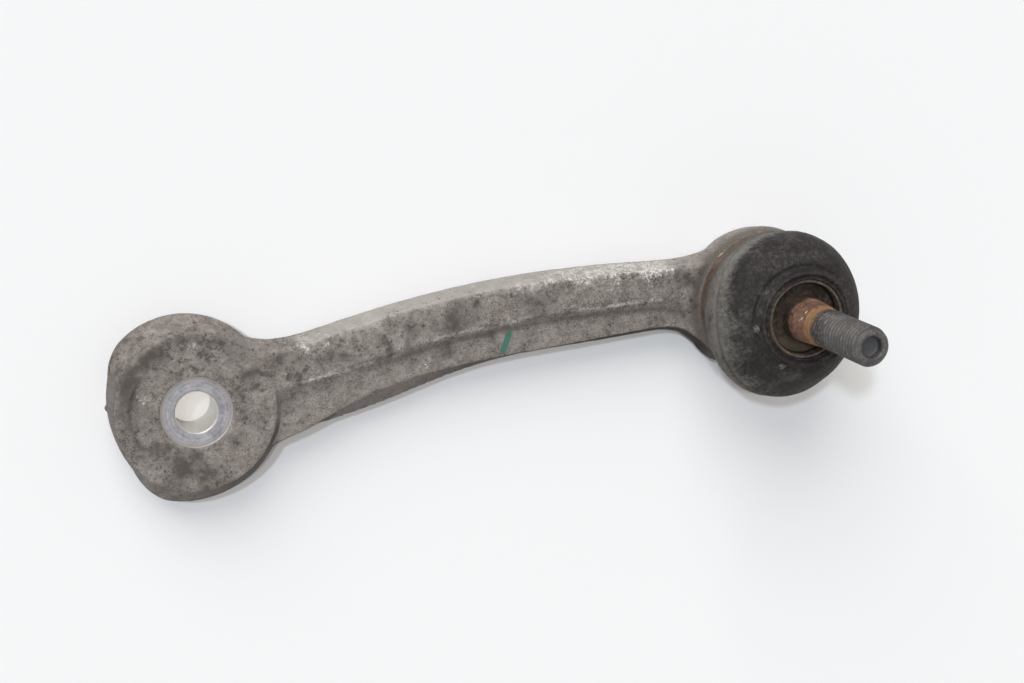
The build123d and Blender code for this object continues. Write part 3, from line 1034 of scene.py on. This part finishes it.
def forged_material():
    """Forged aluminium, mottled by old oxide, with stains, rubbed ridges with painted highlights, painted shade on
    walls away from the light, and a dab of paint.
    """
    material, tree, shader = start_material("forged_aluminium")
    place = place_of(tree)
    broad = grain(tree, place, 16.0, 3.0)
    patch = grain(tree, place, 4.5, 5.0, 0.65)
    speck = grain(tree, place, 1.3, 6.0, 0.7)
    grit = grain(tree, place, 0.45, 2.0, 0.6)
    other = grain(tree, stretch(tree, place, (1.0, 1.0, 1.7)), 2.4, 5.0, 0.7, 0.6)
    tone = total(tree, (0.15, broad), (0.25, patch), (0.3, speck), (0.3, grit))
    stops = (
        (0.39, forged_dark),
        (0.46, forged_mid),
        (0.54, forged_light),
        (0.64, forged_pale),
    )
    colour = ramp(tree, tone, stops)
    # The outer flank is paled by rubbing and by painted light where it faces the window.
    band = stored(tree, "band")
    colour = over(tree, calc(tree, "MULTIPLY", band, 0.55), colour, forged_pale)
    # Hollows are dark, the foot of the rib's step is darkened with painted shade, the grime under the boot is brown
    low = calc(tree, "MULTIPLY", stored(tree, "rounding"), -14.0)
    hollow = rise(tree, total(tree, (1.0, low), (0.8, other)), 0.5, 1.4, 0.0, 0.6)
    colour = over(tree, hollow, colour, forged_dark)
    crease = total(tree, (1.0, stored(tree, "crease")), (0.6, speck))
    colour = over(tree, rise(tree, crease, 0.5, 1.3, 0.0, 0.5), colour, forged_dark)
    grubby = total(tree, (0.8, stored(tree, "grubby")), (0.9, patch), (0.6, speck))
    colour = over(tree, rise(tree, grubby, 0.75, 1.5, 0.0, 0.75), colour, grime_brown)
    # Side walls facing away from the light get painted shade, and a near-black painted shadow where it is deepest.
    walls = total(tree, (1.0, stored(tree, "side")), (0.4, patch), (0.3, speck))
    side = rise(tree, walls, 0.45, 1.2, 0.0, 0.8)
    colour = over(tree, side, colour, side_shade_dark)
    colour = over(tree, rise(tree, walls, 1.5, 2.1, 0.0, 0.85), colour, shadow_black)
    soft = total(tree, (0.9, stored(tree, "soft")), (2.2, speck), (1.4, patch))
    colour = over(tree, rise(tree, soft, 1.9, 3.2, 0.0, 0.6), colour, forged_pale)
    # Stains, and painted shade along the wall of the die's hollow by the washer mark, are a field kept on the mesh,
    # broken up by grain
    stain_and_shade = total(tree, (1.0, stored(tree, "stain_and_shade")), (3.0, speck), (2.2, other), (2.2, grit))
    colour = over(tree, rise(tree, stain_and_shade, 3.55, 4.6, 0.0, 0.85), colour, forged_dark)
    scatter = total(tree, (0.9, other), (0.9, speck), (0.5, broad), (0.5, grit))
    colour = over(tree, rise(tree, scatter, 1.5, 1.66, 0.0, 0.7), colour, forged_dark)
    # Rubbed places show bare metal; some bright spots, such as the one on the housing, are painted glints
    edge = calc(tree, "MULTIPLY", stored(tree, "rounding"), 9.0)
    rubbed = total(tree, (1.0, edge), (2.4, speck), (1.6, patch))
    wear_and_glint_level = total(tree, (0.9, stored(tree, "wear_and_glint")), (3.4, speck), (1.4, patch), (3.4, grit))
    # The ridge line is rubbed metal and a painted highlight.
    line = total(tree, (0.9, stored(tree, "ridge")), (1.6, speck), (1.4, patch), (1.2, grit))
    bright = calc(tree, "MAXIMUM", rise(tree, wear_and_glint_level, 4.4, 5.6), rise(tree, line, 2.4, 3.5, 0.0, 0.7))
    bright = calc(tree, "MAXIMUM", bright, rise(tree, rubbed, 2.6, 3.2, 0.0, 0.5))
    bright = calc(tree, "MULTIPLY", bright, calc(tree, "SUBTRACT", 1.0, side))
    colour = over(tree, bright, colour, bare_metal)
    dab = total(tree, (1.0, stored(tree, "dab")), (0.9, speck), (0.9, grit))
    painted = rise(tree, dab, 1.0, 1.25, 0.0, 0.9)
    colour = over(tree, painted, colour, paint_green)
    plug(tree, shader.inputs["Base Color"], colour)
    plug(tree, shader.inputs["Metallic"], rise(tree, bright, 0.1, 1.0, 0.2, 0.85))
    plug(tree, shader.inputs["Roughness"], rise(tree, bright, 0.0, 1.0, 0.64, 0.42))
    plug(tree, shader.inputs["Specular IOR Level"], rise(tree, side, 0.0, 0.8, 0.35, 0.1))
    bump(tree, shader, total(tree, (0.5, speck), (0.3, grit), (0.2, patch)), 0.16)
    return material


def machined_material():
    """Turned aluminium, with the rings that a bolt's washer has scored."""
    material, tree, shader = start_material("machined_aluminium", 0.42, 0.7)
    place = place_of(tree)
    x, y, z = split(tree, place)
    radius = calc(tree, "SQRT", total(tree, (1.0, calc(tree, "MULTIPLY", x, x)), (y, y)))
    rings = tree.nodes.new("ShaderNodeTexNoise")
    rings.noise_dimensions = "1D"
    plug(tree, rings.inputs["W"], radius)
    rings.inputs["Scale"].default_value = 3.4
    rings.inputs["Detail"].default_value = 3.0
    speck = grain(tree, place, 0.9, 4.0)
    patch = grain(tree, place, 4.0, 3.0)
    tone = total(tree, (0.3, rings.outputs["Fac"]), (0.3, speck), (0.4, patch))
    stops = ((0.38, (0.17, 0.17, 0.176)), (0.5, (0.29, 0.292, 0.31)), (0.62, (0.4, 0.4, 0.42)))
    colour = ramp(tree, tone, stops)
    worn_edge = total(tree, (1.0, radius), (1.6, speck), (1.2, patch))
    at_eye = rise(tree, radius, 12.0, 11.0)
    fading = calc(tree, "MULTIPLY", at_eye, rise(tree, worn_edge, 9.0, 10.4, 0.0, 0.8))
    colour = over(tree, fading, colour, forged_light)
    inside = rise(tree, radius, bore_radius + 0.25, bore_radius + 0.1)
    colour = over(tree, inside, colour, (0.75, 0.73, 0.69))
    plug(tree, shader.inputs["Base Color"], colour)
    plug(tree, shader.inputs["Metallic"], rise(tree, inside, 0.0, 1.0, 0.4, 0.85))
    plug(tree, shader.inputs["Roughness"], rise(tree, inside, 0.0, 1.0, 0.5, 0.45))
    bump(tree, shader, total(tree, (0.7, rings.outputs["Fac"]), (0.3, speck)), 0.05)
    return material


def stud_material():
    """Plated steel: rusty collar and shank with painted shade at its foot and two painted glints, an ochre ring and
    a dull grey thread.
    """
    material, tree, shader = start_material("stud_steel")
    place = place_of(tree)
    x, y, z = split(tree, place)
    patch = grain(tree, place, 4.0, 5.0, 0.65)
    speck = grain(tree, place, 1.0, 5.0, 0.7)
    streak = grain(tree, stretch(tree, place, (1.0, 1.0, 0.35)), 1.6, 4.0, 0.65)
    rust = ramp(
        tree,
        total(tree, (0.5, patch), (0.5, speck)),
        ((0.36, rust_brown), (0.5, rust_copper), (0.66, (0.24, 0.15, 0.115))),
    )
    dark = ramp(
        tree,
        total(tree, (0.5, patch), (0.5, speck)),
        ((0.38, (0.014, 0.009, 0.007)), (0.5, (0.03, 0.021, 0.016)), (0.64, (0.075, 0.055, 0.036))),
    )
    thread = ramp(
        tree,
        total(tree, (0.4, patch), (0.6, speck)),
        ((0.42, (0.022, 0.019, 0.018)), (0.5, (0.05, 0.044, 0.043)), (0.59, (0.12, 0.112, 0.108))),
    )
    height = total(tree, (1.0, z), (2.6, patch), (2.6, speck))
    # The shank's foot, in the hollow under the boot's lip, is dark rust deepened by painted shade, more on the side
    # towards the arm.
    side = total(tree, (0.12, calc(tree, "SUBTRACT", y, x)), (1.0, patch))
    shade = rise(tree, side, -18.4, -17.7, 0.0, 2.4)
    root = total(tree, (1.0, z), (1.4, patch), (1.2, speck), (-1.0, shade))
    colour = over(tree, rise(tree, root, 30.2, 32.0), dark, rust)
    streaks = calc(tree, "MULTIPLY", rise(tree, streak, 0.6, 0.7, 0.0, 0.3), rise(tree, z, 31, 33))
    colour = over(tree, streaks, colour, (0.42, 0.33, 0.28))
    # Two painted glints on the shank.
    glint = total(tree, (1.0, stored(tree, "glint")), (0.8, speck))
    colour = over(tree, rise(tree, glint, 0.8, 1.2), colour, (0.7, 0.66, 0.62))
    # Lighter brown low down on the side towards -y.
    low_brown = calc(tree, "MULTIPLY", rise(tree, total(tree, (1.0, y), (6.0, speck)), 1.0, -5.0), rise(tree, z, 31.0, 29.0))
    colour = over(tree, calc(tree, "MULTIPLY", low_brown, 0.6), colour, (0.085, 0.068, 0.05))
    ring = calc(tree, "MULTIPLY", rise(tree, height, 41.6, 43.2), rise(tree, height, 46.0, 44.8))
    colour = over(tree, calc(tree, "MULTIPLY", ring, 0.7), colour, (0.26, 0.145, 0.06))
    dull = over(tree, rise(tree, z, 43.0, 52.0, 0.0, 0.5), thread, (0.13, 0.125, 0.12))
    near_ring = rise(tree, height, 49.6, 45.6, 0.0, 0.6)
    dull = over(tree, near_ring, dull, (0.045, 0.033, 0.028))
    groove = total(tree, (1.0, stored(tree, "groove")), (0.5, speck))
    dull = over(tree, rise(tree, groove, 0.5, 1.2, 0.0, 0.6), dull, (0.022, 0.018, 0.017))
    colour = over(tree, rise(tree, height, 44.8, 46.0), colour, dull)
    floor = rise(tree, z, stud_high.z - 2.0, stud_high.z - 2.3)
    floor = calc(tree, "MULTIPLY", floor, rise(tree, z, stud_high.z - 4.0, stud_high.z - 3.0))
    out = total(tree, (1.0, calc(tree, "MULTIPLY", calc(tree, "SUBTRACT", x, axis_x), calc(tree, "SUBTRACT", x, axis_x))), (1.0, calc(tree, "MULTIPLY", y, y)))
    floor = calc(tree, "MULTIPLY", floor, rise(tree, out, 10.0, 9.4))
    colour = over(tree, floor, colour, (0.078, 0.083, 0.084))
    plug(tree, shader.inputs["Base Color"], colour)
    plug(tree, shader.inputs["Metallic"], rise(tree, height, 43.6, 45.6, 0.1, 0.4))
    plug(tree, shader.inputs["Roughness"], rise(tree, height, 43.6, 45.6, 0.75, 0.58))
    shader.inputs["Specular IOR Level"].default_value = 0.2
    bump(tree, shader, total(tree, (0.6, speck), (0.4, patch)), 0.09)
    return material


def rubber_material():
    """Black rubber greyed by road dust, more so low down and on the side towards the arm; over the rim and on the
    pips the grey is also a painted highlight.
    """
    material, tree, shader = start_material("boot_rubber", 0.75)
    shader.inputs["Specular IOR Level"].default_value = 0.2
    place = stored(tree, "rest", "Vector")
    patch = grain(tree, place, 7.0, 5.0, 0.62)
    speck = grain(tree, place, 1.1, 5.0, 0.72)
    fine = grain(tree, place, 0.4, 2.0)
    grainy = total(tree, (0.4, patch), (0.4, speck), (0.2, fine))
    black_stops = (
        (0.4, (0.012, 0.011, 0.011)),
        (0.5, (0.026, 0.023, 0.022)),
        (0.6, (0.06, 0.055, 0.051)),
    )
    black = ramp(tree, grainy, black_stops)
    grey = ramp(tree, grainy, ((0.4, (0.07, 0.063, 0.058)), (0.6, (0.17, 0.162, 0.148))))
    # Dust, with painted highlight over the rim and on the pips.
    dust_and_rim_light = total(tree, (1.0, stored(tree, "dust_and_rim_light")), (1.4, patch), (1.1, speck))
    colour = over(tree, rise(tree, dust_and_rim_light, 1.3, 2.25), black, grey)
    rusty = total(tree, (1.0, stored(tree, "rusty")), (0.5, speck))
    colour = over(tree, rise(tree, rusty, 0.45, 1.3, 0.0, 0.75), colour, (0.05, 0.037, 0.031))
    ochre = total(tree, (1.0, stored(tree, "rusty")), (0.7, patch), (0.6, speck))
    colour = over(tree, rise(tree, ochre, 1.58, 1.95, 0.0, 0.6), colour, rust_ochre)
    plug(tree, shader.inputs["Base Color"], colour)
    bump(tree, shader, total(tree, (0.5, speck), (0.3, fine), (0.2, patch)), 0.12)
    return material


def band_material(name, deep, middle, light, metallic):
    """Rusted sheet steel between three tones."""
    material, tree, shader = start_material(name, 0.7, metallic)
    place = place_of(tree)
    patch = grain(tree, place, 3.5, 5.0, 0.65)
    speck = grain(tree, place, 0.9, 5.0, 0.7)
    tone = total(tree, (0.5, patch), (0.5, speck))
    plug(
        tree,
        shader.inputs["Base Color"],
        ramp(tree, tone, ((0.38, deep), (0.5, middle), (0.62, light))),
    )
    bump(tree, shader, speck, 0.1)
    return material


def floor_material():
    """A pale plain floor. Looked at through the bore, it glows to an even pale tone: painted light over the shade
    that the eye casts there.
    """
    material, tree, shader = start_material("studio_floor", 0.9)
    x, y, z = split(tree, place_of(tree))
    radius = calc(tree, "SQRT", total(tree, (1.0, calc(tree, "MULTIPLY", x, x)), (y, y)))
    # The floor seen through the bore glows as painted light over the eye's shade.
    under_bore = rise(tree, radius, bore_radius + 1.5, bore_radius + 0.5, 0.0, 0.66)
    looked_at = tree.nodes.new("ShaderNodeLightPath").outputs["Is Camera Ray"]
    painted_bore_light = calc(tree, "MULTIPLY", under_bore, looked_at)
    plug(tree, shader.inputs["Base Color"], over(tree, painted_bore_light, floor_pale, (0.0, 0.0, 0.0)))
    plug(tree, shader.inputs["Emission Strength"], painted_bore_light)
    shader.inputs["Emission Color"].default_value = (*bore_floor_glow, 1.0)
    return material


def paint(obj, material):
    """Gives a piece its one material. CAD nodes keep their slot and only its material changes."""
    if obj.data.materials:
        obj.data.materials[0] = material
    else:
        obj.data.materials.append(material)


link = forged_link()
eye = eye_lining()
housing = housing_lining()
stud = ball_stud()
lower_boot, upper_boot = dust_boot()
clip = round_band("clip_band", clip_low, clip_high, 18.2, "link", "boot_clip", 0.3)
lip_ring = round_band("lip_ring", ring_low, ring_high, 9.5, "mouth", "mouth_ring", 0.25)
floor = studio_floor()
camera()
lights()

forged = forged_material()
rubber = rubber_material()
clip_rust = band_material("clip_rust", (0.04, 0.025, 0.018), (0.09, 0.058, 0.036), (0.17, 0.115, 0.07), 0.1)
ring_rust = band_material("ring_rust", (0.03, 0.02, 0.015), (0.07, 0.05, 0.038), (0.13, 0.1, 0.08), 0.2)
plate_steel = band_material("plate_steel", (0.12, 0.1, 0.085), (0.22, 0.2, 0.18), (0.33, 0.31, 0.29), 0.5)
seat_plastic = band_material("seat_plastic", (0.5, 0.49, 0.46), (0.6, 0.59, 0.56), (0.68, 0.67, 0.64), 0.0)
paint(link, forged)
paint(housing, forged)
paint(eye, machined_material())
paint(stud, stud_material())
paint(lower_boot, rubber)
paint(upper_boot, rubber)
paint(clip, clip_rust)
paint(lip_ring, ring_rust)
paint(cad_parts["cover_plate"], plate_steel)
paint(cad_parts["bearing_seat"], seat_plastic)
paint(floor, floor_material())

bpy.context.scene.view_settings.view_transform = "Standard"
